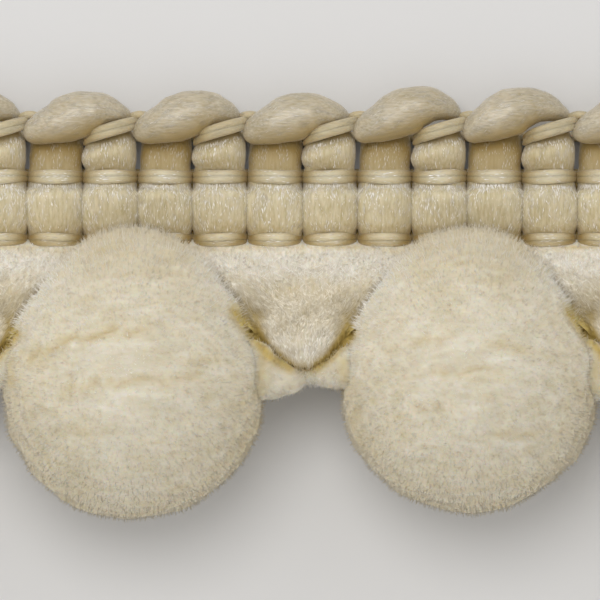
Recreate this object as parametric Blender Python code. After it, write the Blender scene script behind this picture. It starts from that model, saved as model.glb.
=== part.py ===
"""Pompom fringe trim, a cut length that lies on its back.

A woven heading of bundled columns carries thick cord loops along its upper edge.
A row of yarn pompoms hangs from its foot, with a gathered tuft and a pinched tie
between each two of them.

X runs along the trim, Y points to the loops and Z to the face of the trim. The
origin lies under the middle of the trim, on the surface that it rests on. Sizes
are millimetres until a finished mesh is scaled to metres.
"""

import math

import bmesh
import bpy
from mathutils import Vector

MM = 0.001

# The repeat along the trim.
COLUMN_PITCH = 4.1
COLUMN_COUNT = 26
COLUMNS_PER_LOOP = 2
COLUMNS_PER_POMPOM = 6
POMPOM_COUNT = 4
TRIM_LENGTH = COLUMN_PITCH * COLUMN_COUNT
LOOP_PITCH = COLUMN_PITCH * COLUMNS_PER_LOOP
POMPOM_PITCH = COLUMN_PITCH * COLUMNS_PER_POMPOM
LOOP_COUNT = COLUMN_COUNT // COLUMNS_PER_LOOP

# Clearance between neighbouring pieces, and from the cut ends.
GAP = 0.3

# The heading, measured up from its foot.
FOOT_Y = 4.25
HEADING_FACE_Z = 4.6
SHELF_Z = 1.6
BACK_LIFT = 0.5
BACK_FOOT_RISE = 0.5
BACK_TOP_INSET = 0.4
STATIONS_PER_COLUMN = 4

# Height and cross profile of the columns at the stations across one column.
# The first station is the groove beside the column, the others are on it.
COLUMN_CREST = (0.0, 0.86, 1.0, 0.86)

# Rows of the heading's face below the slanted top, from the foot up: the row's
# rise, the height of a column there, and the height of the groove beside it.
LOWER_ROWS = (
    # rise, crest, groove
    (0.00, 2.5, 1.9),
    (0.35, 3.3, 2.3),
    (0.80, 3.1, 2.2),
    (1.05, 2.6, 1.8),
    (1.50, 4.0, 2.1),
    (2.70, 4.6, 2.3),
    (4.00, 4.2, 2.2),
    (4.60, 3.0, 1.9),
    (4.95, 3.6, 2.5),
    (5.45, 3.6, 2.5),
    (5.75, 2.9, 1.8),
)

# Rows from the mid band to the top edge, as shares of what is left of the
# column. Left columns sit back under the loops, right ones carry the binding.
UPPER_ROWS = (
    # share, left crest, right crest, groove
    (0.12, 3.2, 3.9, 1.9),
    (0.38, 3.3, 4.5, 1.9),
    (0.58, 3.3, 3.9, 1.9),
    (0.66, 3.3, 3.4, 1.8),
    (0.82, 3.2, 4.0, 1.8),
    (1.00, 2.7, 3.1, 1.7),
)

# Top of the face and of the back at the stations across two columns.
FACE_TOP = (7.5, 7.5, 7.5, 7.5, 7.6, 8.4, 8.75, 8.9)
BACK_TOP = (9.7, 9.4, 9.2, 9.2, 9.2, 9.2, 9.2, 9.4)

# Route of one loop: along the two columns, rise above the foot, height above
# the table, and the radius of the cord.
LOOP_ROUTE = (
    # along, rise, height, radius
    (0.25, 8.40, 3.50, 0.45),
    (0.90, 8.70, 3.60, 1.00),
    (1.80, 9.15, 3.60, 1.30),
    (2.90, 9.75, 3.55, 1.45),
    (4.10, 10.18, 3.50, 1.45),
    (5.10, 10.30, 3.40, 1.28),
    (6.00, 10.15, 3.25, 1.00),
    (6.75, 9.88, 2.95, 0.66),
    (7.35, 9.65, 2.60, 0.30),
)
LOOP_SIDES = 8

# The loops differ a little. This repeat is laid so that it starts at the
# fifth loop from the left.
LOOP_REPEAT = (
    # shift of the peak, added rise
    (0.00, 0.00),
    (-0.05, 0.05),
    (-0.20, -0.20),
    (0.00, 0.35),
    (-0.45, 0.20),
)
FIRST_OF_REPEAT = 4

# Pompoms. A ball grows up over the heading's edge and back into a neck.
POMPOM_DROP = 10.3
FLAT_SPOT_DEPTH = 0.15
CROWN_REACH = 1.5
CROWN_SHARPNESS = 4
NECK_DROP = 7.9
NECK_REACH = 2.7
NECK_SHARPNESS = 12
BALL_SUBDIVISIONS = 3
POMPOMS = (
    # shift along, shift up, radius
    (0.15, 0.05, 9.60),
    (-0.10, -0.05, 9.70),
    (0.05, 0.15, 9.60),
    (-0.10, 0.00, 9.70),
)

# Locks of yarn that stand out of a ball.
LOCK_TARGETS = 96
MOST_LOCKS = 60
LOCK_LENGTH = 0.60
LOCK_VARIATION = 0.15
LOCK_LEAN = 0.25
LOCK_BASE = 0.84
LOCK_TIP = 0.34
LOWEST_LOCK = -0.55
LOCK_FREE_OF_TIE = 0.80
LOCK_FREE_OF_FOOT = 0.45
LOCK_ABOVE_FACE = 0.45

# The tuft below the heading: three columns wide, two locks to a column in each
# of its two rows.
TUFT_COLUMNS = 3
TUFT_LEFT_COLUMNS = 2
STRIP_DEPTH = 0.7
STRIP_LOW_Z = 0.4
STRIP_HIGH_Z = 4.2
TUFT_LOCKS_PER_COLUMN = 2
TUFT_LOCK_BASE = 0.8
TIP_DEPTH = 0.9
TIP_HALF_WIDTH = 1.6

# A lock's way from the strip to its tip.
TUFT_FRONT = (
    # drop below the foot, middle of the tuft, spread, height, thickness
    (3.0, -1.50, 0.66, 6.40, 2.10),
    (5.6, -0.60, 0.44, 8.70, 1.90),
    (7.3, 0.10, 0.30, 9.70, 0.90),
)
TUFT_BACK = (
    # drop below the foot, middle of the tuft, spread, height, thickness
    (3.0, -1.50, 0.66, 3.20, 1.90),
    (5.6, -0.60, 0.44, 5.90, 1.60),
    (7.1, 0.10, 0.30, 8.20, 0.80),
)

# The pinched tie between two balls: along the trim from its middle, shift up,
# and radius.
TIE_PROFILE = (
    # along, up, radius
    (-2.20, 0.05, 1.05),
    (-1.80, 0.00, 1.45),
    (-1.10, 0.00, 1.50),
    (-0.30, 0.05, 0.85),
    (0.35, 0.05, 0.45),
    (0.90, 0.05, 0.80),
    (1.60, 0.05, 0.95),
    (2.20, 0.05, 0.70),
)
TIE_DROP = 9.6
TIE_HEIGHT = 9.6
TIE_SIDES = 8
CUT_TIE_REACH = 3.8

# Yarn colours and finish.
YARN_ROUGHNESS = 0.85
CORD_ROUGHNESS = 0.6
HEADING_COLOUR = (0.66, 0.57, 0.38)
LOOP_COLOUR = (0.70, 0.62, 0.43)
POMPOM_COLOUR = (0.76, 0.69, 0.52)
TUFT_COLOUR = (0.72, 0.63, 0.45)
TIE_COLOUR = (0.70, 0.62, 0.44)
SHARP_ANGLE = math.radians(60)


def clear_scene():
    for obj in list(bpy.data.objects):
        bpy.data.objects.remove(obj, do_unlink=True)


def yarn_material(name, colour, roughness):
    material = bpy.data.materials.new(name)
    material.use_nodes = True
    shader = material.node_tree.nodes["Principled BSDF"]
    shader.inputs["Base Color"].default_value = (*colour, 1.0)
    shader.inputs["Roughness"].default_value = roughness
    shader.inputs["Metallic"].default_value = 0.0
    return material


def add_piece(name, bm, material):
    """Scales a mesh in millimetres to metres and adds it to the scene."""
    bmesh.ops.recalc_face_normals(bm, faces=bm.faces)
    bmesh.ops.scale(bm, vec=(MM, MM, MM), verts=bm.verts)
    mesh = bpy.data.meshes.new(name)
    bm.to_mesh(mesh)
    bm.free()
    mesh.shade_smooth()
    mesh.set_sharp_from_angle(angle=SHARP_ANGLE)
    mesh.materials.append(material)
    piece = bpy.data.objects.new(name, mesh)
    bpy.context.scene.collection.objects.link(piece)


def bridge_rings(bm, rings):
    """Joins rings of points into one closed body, with a flat cap at each end."""
    made = [[bm.verts.new(point) for point in ring] for ring in rings]
    for ring, following in zip(made, made[1:]):
        for i in range(len(ring)):
            j = (i + 1) % len(ring)
            bm.faces.new((ring[i], ring[j], following[j], following[i]))
    bm.faces.new(made[0])
    bm.faces.new(made[-1])


def heading_section(station):
    """Outline of the heading at one station, from the foot over the face to the back."""
    across = station % STATIONS_PER_COLUMN
    in_pair = station % (STATIONS_PER_COLUMN * COLUMNS_PER_LOOP)
    is_left = in_pair <= STATIONS_PER_COLUMN
    crest_share = COLUMN_CREST[across]
    x = station * COLUMN_PITCH / STATIONS_PER_COLUMN - TRIM_LENGTH / 2
    outline = []
    for rise, crest, groove in LOWER_ROWS:
        outline.append((rise, groove + (crest - groove) * crest_share))
    block_foot = LOWER_ROWS[-1][0]
    face_top = FACE_TOP[in_pair]
    for share, left, right, groove in UPPER_ROWS:
        crest = left if is_left else right
        rise = block_foot + (face_top - block_foot) * share
        outline.append((rise, groove + (crest - groove) * crest_share))
    back_top = BACK_TOP[in_pair]
    back = BACK_LIFT * (1.0 - min(1.0, crest_share / COLUMN_CREST[1]))
    outline.append((face_top, SHELF_Z))
    outline.append((back_top - BACK_TOP_INSET / 2, SHELF_Z - 0.1))
    outline.append((back_top, (SHELF_Z + back) / 2))
    outline.append((back_top - BACK_TOP_INSET, back))
    outline.append((BACK_FOOT_RISE, back))
    outline.append((0.0, back + BACK_LIFT))
    return [Vector((x, FOOT_Y + rise, height)) for rise, height in outline]


def make_heading(material):
    bm = bmesh.new()
    last = COLUMN_COUNT * STATIONS_PER_COLUMN
    bridge_rings(bm, [heading_section(station) for station in range(last + 1)])
    add_piece("heading", bm, material)


def swept_ring(centre, direction, radius, sides):
    """Ring of points round a route, square to its direction."""
    forward = direction.normalized()
    side = forward.cross(Vector((0.0, 0.0, 1.0))).normalized()
    up = side.cross(forward)
    ring = []
    for i in range(sides):
        turn = 2.0 * math.pi * (i + 0.5) / sides
        ring.append(centre + (side * math.cos(turn) + up * math.sin(turn)) * radius)
    return ring


def make_loop(number, material):
    shift, lift = LOOP_REPEAT[(number - 1 - FIRST_OF_REPEAT) % len(LOOP_REPEAT)]
    start = -TRIM_LENGTH / 2 + (number - 1) * LOOP_PITCH
    base_rise = LOOP_ROUTE[0][1]
    highest = max(rise for _, rise, _, _ in LOOP_ROUTE) - base_rise
    centres, radii = [], []
    for along, rise, height, radius in LOOP_ROUTE:
        share = max(0.0, (rise - base_rise) / highest)
        bend = math.sin(math.pi * along / LOOP_PITCH)
        centres.append(
            Vector((start + along + shift * bend, FOOT_Y + rise + lift * share, height))
        )
        radii.append(radius)
    rings = []
    for i, centre in enumerate(centres):
        before = centres[max(i - 1, 0)]
        after = centres[min(i + 1, len(centres) - 1)]
        rings.append(swept_ring(centre, after - before, radii[i], LOOP_SIDES))
    bm = bmesh.new()
    bridge_rings(bm, rings)
    add_piece(f"loop_{number:02d}", bm, material)


def grow_lock(bm, face, stations):
    """Turns one face into a lock: each station is the centre and scale of a ring."""
    ring = [loop.vert for loop in face.loops]
    centre = face.calc_center_median()
    offsets = [vert.co - centre for vert in ring]
    bm.faces.remove(face)
    for place, scales in stations:
        new_ring = []
        for offset in offsets:
            scaled = Vector([part * scale for part, scale in zip(offset, scales)])
            new_ring.append(bm.verts.new(place + scaled))
        for i in range(len(ring)):
            j = (i + 1) % len(ring)
            bm.faces.new((ring[i], ring[j], new_ring[j], new_ring[i]))
        ring = new_ring
    bm.faces.new(ring)


def pompom_surface(direction, centre, radius):
    """Point of a ball's surface in one direction from its centre."""
    to_neck = Vector((0.0, -centre.y + FOOT_Y, -NECK_DROP)).normalized()
    reach = radius
    reach += CROWN_REACH * max(0.0, direction.y) ** CROWN_SHARPNESS
    reach += NECK_REACH * max(0.0, direction.dot(to_neck)) ** NECK_SHARPNESS
    point = centre + direction * reach
    if point.z < HEADING_FACE_Z + GAP:
        point.y = min(point.y, FOOT_Y - GAP)
    point.z = max(point.z, 0.0)
    return point


def lock_directions():
    """Evenly spread directions over a sphere, along a spiral from pole to pole."""
    golden_turn = math.pi * (3.0 - math.sqrt(5.0))
    for i in range(LOCK_TARGETS):
        height = 1.0 - 2.0 * (i + 0.5) / LOCK_TARGETS
        flat = math.sqrt(1.0 - height * height)
        turn = golden_turn * i
        yield Vector((flat * math.cos(turn), flat * math.sin(turn), height))


def lock_is_free(direction):
    """Whether a lock in this direction clears the table, the ties and the heading."""
    if direction.z < LOWEST_LOCK or abs(direction.x) > LOCK_FREE_OF_TIE:
        return False
    return direction.y < LOCK_FREE_OF_FOOT or direction.z > LOCK_ABOVE_FACE


def add_pompom_locks(bm, centre):
    faces = {face: (face.calc_center_median() - centre).normalized() for face in bm.faces}
    chosen = []
    for wanted in lock_directions():
        nearest = max(faces, key=lambda face: faces[face].dot(wanted))
        if nearest not in chosen and lock_is_free(faces[nearest]):
            chosen.append(nearest)
    for i, face in enumerate(chosen[:MOST_LOCKS]):
        out = faces[face]
        low = min(1.0, (out.z - LOWEST_LOCK) / -LOWEST_LOCK)
        length = (LOCK_LENGTH + LOCK_VARIATION * math.sin(5.0 * i)) * (0.4 + 0.6 * low)
        lean = Vector((LOCK_LEAN * math.cos(3.0 * i), -LOCK_LEAN * low, 0.0))
        base = face.calc_center_median()
        tip = base + out * length + lean
        grow_lock(bm, face, [(base, (LOCK_BASE,) * 3), (tip, (LOCK_TIP,) * 3)])


def pompom_centre(index):
    along, up, radius = POMPOMS[index]
    x = (index - (POMPOM_COUNT - 1) / 2) * POMPOM_PITCH + along
    return Vector((x, FOOT_Y - POMPOM_DROP + up, radius - FLAT_SPOT_DEPTH))


def make_pompom(index, material):
    centre = pompom_centre(index)
    radius = POMPOMS[index][2]
    bm = bmesh.new()
    bmesh.ops.create_icosphere(bm, subdivisions=BALL_SUBDIVISIONS, radius=1.0)
    for vert in bm.verts:
        vert.co = pompom_surface(vert.co.normalized(), centre, radius)
    add_pompom_locks(bm, centre)
    add_piece(f"pompom_{index + 1}", bm, material)


def tuft_strip_cells(bm, left, right, cells):
    """Root strip under the heading, its lower side divided into two rows of cells."""
    top = FOOT_Y - GAP
    bottom = top - STRIP_DEPTH
    middle_z = (STRIP_LOW_Z + STRIP_HIGH_Z) / 2
    heights = (STRIP_LOW_Z, middle_z, STRIP_HIGH_Z)
    uppers, lowers = [], []
    for i in range(cells + 1):
        x = left + (right - left) * i / cells
        uppers.append([bm.verts.new((x, top, z)) for z in heights])
        lowers.append([bm.verts.new((x, bottom, z)) for z in heights])
    roots = []
    for i in range(cells):
        for row in range(2):
            bm.faces.new(
                (uppers[i][row], uppers[i][row + 1], uppers[i + 1][row + 1], uppers[i + 1][row])
            )
            root = bm.faces.new(
                (lowers[i][row], lowers[i + 1][row], lowers[i + 1][row + 1], lowers[i][row + 1])
            )
            roots.append((root, row == 1))
        for row, flip in ((0, False), (2, True)):
            side = (uppers[i][row], uppers[i + 1][row], lowers[i + 1][row], lowers[i][row])
            bm.faces.new(side[::-1] if flip else side)
    for i, flip in ((0, False), (cells, True)):
        for row in range(2):
            end = (uppers[i][row], lowers[i][row], lowers[i][row + 1], uppers[i][row + 1])
            bm.faces.new(end[::-1] if flip else end)
    return roots


def tuft_lock_stations(root, is_front, tie_x, strip_middle):
    """Centres and scales of a tuft lock's rings, from its root to its tip."""
    centre = root.calc_center_median()
    spread = centre.x - strip_middle
    stations = [(centre.copy(), (TUFT_LOCK_BASE, 1.0, TUFT_LOCK_BASE))]
    rows = TUFT_FRONT if is_front else TUFT_BACK
    for number, (drop, middle, share, height, thickness) in enumerate(rows):
        x = tie_x + middle + spread * share
        if number == len(rows) - 1:
            drop += TIP_DEPTH * max(0.0, 1.0 - abs(x - tie_x - middle) / TIP_HALF_WIDTH)
        width = share * TUFT_LOCK_BASE
        depth = thickness / (STRIP_HIGH_Z - STRIP_LOW_Z) * 2
        stations.append((Vector((x, FOOT_Y - drop, height)), (width, 1.0, depth)))
    return stations


def make_tuft(number, tie_x, material):
    end = TRIM_LENGTH / 2 - GAP
    left = tie_x - TUFT_LEFT_COLUMNS * COLUMN_PITCH + GAP
    right = tie_x + (TUFT_COLUMNS - TUFT_LEFT_COLUMNS) * COLUMN_PITCH - GAP
    strip_middle = (left + right) / 2
    left = max(left, -end)
    right = min(right, end)
    columns = round((right - left) / COLUMN_PITCH)
    bm = bmesh.new()
    roots = tuft_strip_cells(bm, left, right, columns * TUFT_LOCKS_PER_COLUMN)
    for root, is_front in roots:
        grow_lock(bm, root, tuft_lock_stations(root, is_front, tie_x, strip_middle))
    add_piece(f"tuft_{number}", bm, material)


def make_tie(number, tie_x, material):
    rows = list(TIE_PROFILE)
    if tie_x < -POMPOM_PITCH * (POMPOM_COUNT - 1) / 2:
        rows[0] = (-CUT_TIE_REACH, *rows[0][1:])
    if tie_x > POMPOM_PITCH * (POMPOM_COUNT - 1) / 2:
        rows[-1] = (CUT_TIE_REACH, *rows[-1][1:])
    along_trim = Vector((1.0, 0.0, 0.0))
    rings = []
    for along, up, radius in rows:
        centre = Vector((tie_x + along, FOOT_Y - TIE_DROP + up, TIE_HEIGHT))
        rings.append(swept_ring(centre, along_trim, radius, TIE_SIDES))
    bm = bmesh.new()
    bridge_rings(bm, rings)
    add_piece(f"tie_{number}", bm, material)


def main():
    clear_scene()
    make_heading(yarn_material("heading_yarn", HEADING_COLOUR, YARN_ROUGHNESS))
    loop_cord = yarn_material("loop_cord", LOOP_COLOUR, CORD_ROUGHNESS)
    for number in range(1, LOOP_COUNT + 1):
        make_loop(number, loop_cord)
    pompom_yarn = yarn_material("pompom_yarn", POMPOM_COLOUR, YARN_ROUGHNESS)
    for index in range(POMPOM_COUNT):
        make_pompom(index, pompom_yarn)
    tuft_yarn = yarn_material("tuft_yarn", TUFT_COLOUR, YARN_ROUGHNESS)
    tie_yarn = yarn_material("tie_yarn", TIE_COLOUR, YARN_ROUGHNESS)
    for number in range(1, POMPOM_COUNT + 2):
        tie_x = (number - 1 - POMPOM_COUNT / 2) * POMPOM_PITCH
        make_tuft(number, tie_x, tuft_yarn)
        make_tie(number, tie_x, tie_yarn)


main()
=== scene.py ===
"""Looks of the pompom fringe trim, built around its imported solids.

Sizes are millimetres in the frame of the solids until a mesh is made: X runs
along the trim, Y points to the loops and Z to the face. A rise is a height
above the heading's foot, as seen in the photograph.
"""

import math

import bpy
import numpy as np
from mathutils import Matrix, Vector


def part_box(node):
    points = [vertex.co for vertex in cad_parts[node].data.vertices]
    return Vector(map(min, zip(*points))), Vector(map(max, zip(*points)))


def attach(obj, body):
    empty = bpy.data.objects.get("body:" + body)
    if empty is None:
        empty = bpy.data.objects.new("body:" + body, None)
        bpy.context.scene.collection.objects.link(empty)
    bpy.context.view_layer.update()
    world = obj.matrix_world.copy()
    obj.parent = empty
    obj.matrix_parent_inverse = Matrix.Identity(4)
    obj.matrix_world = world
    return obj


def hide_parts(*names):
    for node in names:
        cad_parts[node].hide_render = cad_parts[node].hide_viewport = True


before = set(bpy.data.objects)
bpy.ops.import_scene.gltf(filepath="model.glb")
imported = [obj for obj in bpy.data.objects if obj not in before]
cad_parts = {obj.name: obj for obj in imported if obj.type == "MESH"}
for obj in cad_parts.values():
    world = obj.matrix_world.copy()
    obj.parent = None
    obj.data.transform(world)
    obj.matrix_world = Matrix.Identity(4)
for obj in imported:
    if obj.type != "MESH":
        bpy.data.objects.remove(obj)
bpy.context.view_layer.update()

MM = 0.001
HEADING_LOW, HEADING_HIGH = (np.array(corner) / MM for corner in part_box("heading"))

# The repeat along the trim.
COLUMN_COUNT = 26
COLUMNS_PER_LOOP = 2
COLUMNS_PER_POMPOM = 6
POMPOM_COUNT = 4
TRIM_LENGTH = HEADING_HIGH[0] - HEADING_LOW[0]
COLUMN_PITCH = TRIM_LENGTH / COLUMN_COUNT
LOOP_PITCH = COLUMN_PITCH * COLUMNS_PER_LOOP
POMPOM_PITCH = COLUMN_PITCH * COLUMNS_PER_POMPOM
LOOP_COUNT = COLUMN_COUNT // COLUMNS_PER_LOOP
FOOT_Y = HEADING_LOW[1]
LEFT_END = HEADING_LOW[0]

# The photograph's frame on the trim.
PHOTO_PIXELS = 600
MM_PER_PIXEL = 0.0745
PHOTO_MIDDLE_X = 302.25
PHOTO_FOOT_Y = 246.0
CAMERA_DISTANCE = 600.0
SENSOR_WIDTH = 36.0
FACE_HEIGHT = 4.0

# Columns of the heading: one row for each rise.
COLUMN_RINGS = 60
COLUMN_SIDES = 22
COLUMN_BACK = 0.3
COLUMN_ROUNDNESS = 2.5
PAIR_LEAN = 0.10
COLUMN_VARIETY = 0.025
UPPER_FOOT = 5.8
SLANT = 0.25
LEFT_COLUMN = (
    # rise, half width, face height
    (-0.50, 1.20, 1.60),
    (-0.30, 2.00, 2.60),
    (0.10, 1.94, 2.90),
    (0.85, 1.92, 3.20),
    (1.10, 1.97, 3.55),
    (1.50, 2.15, 3.95),
    (2.20, 2.42, 4.25),
    (3.00, 2.50, 4.52),
    (3.60, 2.42, 4.62),
    (4.00, 2.24, 4.48),
    (4.30, 2.00, 4.10),
    (4.52, 1.94, 3.60),
    (4.75, 1.93, 3.35),
    (5.50, 1.93, 3.15),
    (5.90, 1.88, 3.00),
    (6.60, 1.94, 2.95),
    (7.40, 1.90, 2.70),
    (8.40, 1.70, 2.30),
    (8.90, 1.10, 2.00),
)
RIGHT_COLUMN = (
    # rise, half width, face height
    (-0.50, 1.20, 1.60),
    (-0.30, 2.00, 2.60),
    (0.10, 1.94, 2.90),
    (0.85, 1.92, 3.20),
    (1.10, 1.97, 3.55),
    (1.50, 2.15, 3.95),
    (2.20, 2.42, 4.25),
    (3.00, 2.50, 4.52),
    (3.60, 2.42, 4.62),
    (4.00, 2.24, 4.48),
    (4.30, 2.00, 4.10),
    (4.52, 1.94, 3.60),
    (4.75, 1.93, 3.35),
    (5.50, 1.92, 3.15),
    (5.80, 1.82, 3.50),
    (6.30, 1.93, 4.10),
    (6.95, 1.98, 4.45),
    (7.40, 1.92, 4.25),
    (7.75, 1.78, 3.80),
    (8.10, 1.64, 3.50),
    (8.70, 1.50, 2.90),
    (9.00, 1.10, 2.10),
)

# Painted shade up the columns, from 0 to 1: at the foot of each block beside the threads, and at the top under the
# loops on the left ones and the bindings on the right ones.
LEFT_PAINTED_SHADE = ((0.0, 0.15), (1.1, 0.28), (1.8, 0.18), (2.8, 0.1), (4.5, 0.0), (5.0, 0.4), (5.8, 0.6), (7.4, 0.85), (9.0, 0.9))
RIGHT_PAINTED_SHADE = ((0.0, 0.15), (1.1, 0.28), (1.8, 0.18), (2.8, 0.1), (4.5, 0.0), (5.0, 0.4), (6.0, 0.4), (7.0, 0.15), (9.0, 0.8))

# Fibres that lie along the columns.
BLOCKS = (
    # first rise, last rise, fibres
    (1.10, 4.60, 640),
    (5.80, 7.80, 260),
)
COLUMN_FIBRE_LENGTH = (0.22, 0.50)
COLUMN_FIBRE_TURN = 0.02
COLUMN_FIBRE_CROWD = 2.4
FIBRE_HALF_WIDTH = 0.030
FIBRE_HEIGHT = 0.6
# Fibre tones, differing at random; the brightest fibres are painted glints.
FIBRE_TONES_AND_GLINTS = (0.30, 1.15)
FIBRE_ROUNDNESS = 0.45

# Threads that bind the columns, front and back.
THREAD_RADIUS = 0.36
THREAD_STEPS_PER_COLUMN = 16
THREAD_SIDES = 10
THREAD_PINCH = 0.20
THREAD_FLATNESS = 0.8
# Thread tones, from the grooves to the middle of a column: painted shade in the grooves and painted highlight over
# the middle; the grooves also get painted brown shade.
THREAD_PAINTED_TONES = (0.1, 0.85)
THREAD_GROOVE_SHADE = 1.0
THREAD_SQUARENESS = 3
THREAD_FIBRES = 550
THREAD_FIBRE_REACH = (0.07, 0.16)
FRONT_THREADS = (
    # rise, height over a column, height in the groove
    (0.28, 3.25, 1.50),
    (0.64, 3.35, 1.55),
    (4.98, 3.55, 1.75),
    (5.33, 3.50, 1.70),
)
BACK_THREADS = (
    # rise, height
    (0.60, 0.42),
    (5.20, 0.42),
    (8.20, 0.42),
)
BACK_INSET = 0.35
THREAD_SLANT = 0.10
# Dark bands between the columns, all painted shade, that fill the gaps where shadow would show.
SHADE_BANDS = (
    # rise, height, half height, half depth
    (0.55, 1.15, 0.85, 0.80),
    (4.95, 1.15, 0.85, 0.80),
)
SHADE_BAND_INSET = 0.8

# The slanted double thread at the top of each right column, and the thin one
# that comes out of it. Along is measured from the left edge of its pair.
BINDINGS = (
    (
        # along, rise, height, radius
        (4.20, 7.95, 2.20, 0.22),
        (4.60, 8.30, 3.40, 0.29),
        (5.30, 8.58, 4.25, 0.33),
        (6.20, 8.86, 4.50, 0.34),
        (7.10, 9.12, 4.30, 0.33),
        (7.80, 9.32, 3.60, 0.30),
        (8.40, 9.46, 2.60, 0.26),
        (8.80, 9.50, 1.80, 0.20),
    ),
    (
        (4.20, 7.56, 2.20, 0.22),
        (4.55, 7.91, 3.40, 0.28),
        (5.30, 8.19, 4.25, 0.33),
        (6.20, 8.46, 4.50, 0.34),
        (7.10, 8.71, 4.30, 0.33),
        (7.80, 8.91, 3.60, 0.30),
        (8.30, 8.92, 2.60, 0.26),
        (8.60, 8.86, 1.80, 0.20),
    ),
    (
        (7.20, 8.90, 1.60, 0.22),
        (7.45, 9.40, 2.40, 0.28),
        (7.90, 9.70, 3.00, 0.30),
        (8.40, 9.80, 3.30, 0.30),
        (8.90, 9.70, 3.30, 0.30),
        (9.40, 9.40, 2.90, 0.28),
        (9.80, 9.00, 2.20, 0.22),
    ),
)
BINDING_RINGS = 26
# Bindings get painted shade up to this far along, at their left ends under the loops.
BINDING_SHADE_END = 5.6
BINDING_FIBRES = 45
BINDING_FIBRE_REACH = (2.0, 5.0)

# Route of one loop, from the left edge of its pair of columns.
LOOP_ROUTE = (
    # along, rise, height, radius in the face's plane
    (-0.20, 8.22, 2.80, 0.42),
    (0.20, 8.40, 3.10, 0.84),
    (1.04, 8.76, 3.45, 1.22),
    (1.93, 9.08, 3.60, 1.48),
    (2.83, 9.44, 3.65, 1.72),
    (3.72, 9.74, 3.65, 1.78),
    (4.61, 10.02, 3.60, 1.56),
    (5.51, 10.12, 3.45, 1.34),
    (6.40, 9.98, 3.20, 1.00),
    (6.90, 9.78, 2.90, 0.78),
    (7.32, 9.52, 2.50, 0.54),
    (7.65, 9.20, 2.00, 0.30),
)
LOOP_RINGS = 46
LOOP_SIDES = 22
LOOP_MOST_DEPTH = 1.50
LOOP_FIBRES = 420
LOOP_FIBRE_REACH = (2.0, 6.0)
LOOP_TONE = 0.25
# How much painted shade the loops' undersides get.
LOOP_UNDER_SHADE = 1.0
LOOP_REPEAT = (
    # shift of the peak, added rise
    (0.00, 0.00),
    (-0.05, 0.05),
    (-0.20, -0.15),
    (0.00, 0.40),
    (-0.45, 0.30),
)
FIRST_OF_REPEAT = 4

# Pompoms.
BALL_SUBDIVISIONS = 5
BALL_LIFT = -0.15
CROWN_REACH = 1.5
CROWN_SHARPNESS = 4
NECK_DROP = 7.9
NECK_REACH = 2.6
NECK_SHARPNESS = 12
PINCH_DEPTH = 0.35
PINCH_SHARPNESS = 40
POMPOM_DROP = 10.3
POMPOMS = (
    # shift along, shift up, radius
    (0.15, 0.05, 9.66),
    (-0.20, -0.03, 9.82),
    (0.00, 0.20, 9.62),
    (-0.10, 0.00, 9.74),
)
BODY_SINK = 0.08
FUZZ_COUNT = 16800
UNDER_FUZZ = 0.5
FUZZ_LENGTH = (0.42, 0.66)
CROWN_FUZZ = 0.30
JOINT_FUZZ = 0.25
JOINT_LIGHT = 1.5
JOINT_HEIGHT = 0.2
JOINT_SPREAD = 0.40
JOINT_STRENGTH = 0.55
UP = np.array([0.0, 0.0, 1.0])
# Painted light: the balls' yarn is lighter at their seams with the tufts, where shade would fall.
JOINT_PAINTED_LIGHT = 0.5
FUZZ_SINK = 0.30
FUZZ_TILT = 0.7
FUZZ_HALF_WIDTH = 0.049

# Creases between the yarn layers of a ball, from its middle: a line that
# starts and ends at the two along values, and bends with the curve.
CREASES = (
    # ball, first along, last along, up, slope, curve, depth
    (1, -8.9, 2.6, 4.1, 0.02, -0.03, 0.22),
    (1, -5.6, 5.8, 0.35, 0.03, -0.01, 0.20),
    (1, 1.5, 7.0, 2.6, -0.10, 0.00, 0.12),
    (1, -8.5, -4.5, 2.4, 0.10, 0.00, 0.12),
    (1, -6.5, -1.0, -3.4, 0.05, 0.02, 0.10),
    (1, -2.0, 4.0, -5.2, 0.02, 0.00, 0.06),
    (2, -6.0, -0.5, 3.6, 0.05, -0.02, 0.16),
    (2, 0.5, 5.5, 3.0, -0.04, -0.02, 0.14),
    (2, -4.0, 3.5, 0.9, 0.02, -0.01, 0.16),
    (2, -5.5, 0.0, -1.7, 0.06, 0.01, 0.12),
    (2, 1.0, 6.0, -3.7, -0.05, 0.02, 0.12),
)
# Painted shade in the balls' creases and at their sides.
CREASE_SHADE = 2.1
SIDE_SHADE = 0.52
CREASE_HALF_WIDTH = 0.30

# Tufts: a thick sheet of yarn from the heading's foot to the tip, measured
# from its tie. Its edges run in behind the balls beside it.
TUFT_OUTLINE = (
    # drop, left edge, right edge, face height, thickness
    (-0.50, -12.30, 11.50, 2.00, 1.20),
    (-0.05, -12.30, 11.50, 2.90, 2.00),
    (0.25, -12.20, 11.50, 4.40, 3.20),
    (0.70, -12.00, 11.40, 5.80, 4.40),
    (1.40, -11.40, 11.00, 7.40, 4.80),
    (2.50, -10.20, 10.00, 9.00, 5.20),
    (4.00, -8.20, 8.40, 9.80, 5.00),
    (5.10, -5.40, 5.90, 10.00, 4.60),
    (6.25, -3.70, 3.75, 10.40, 4.20),
    (7.40, -2.65, 2.60, 11.00, 4.00),
    (8.20, -1.95, 2.00, 10.90, 3.20),
    (8.80, -1.15, 1.30, 10.50, 2.40),
    (9.00, -0.45, 0.65, 10.10, 1.40),
)
TUFT_RINGS = 64
TUFT_SIDES = 80
FILLET = 3.0
FILLET_SINK = 0.6
LEAST_SINK = 2.0
SKIRT_SLOPE = 1.9
SKIRT_SIDE = (0.20, 0.55)
SKIRT_END = 7.2
SKIRT_FADE = 4.4
SKIRT_TOP = 3.0
SKIRT_RISE = 0.9
SKIRT_HEIGHT = 10.8
TUFT_FOLDS = 0.55
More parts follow.
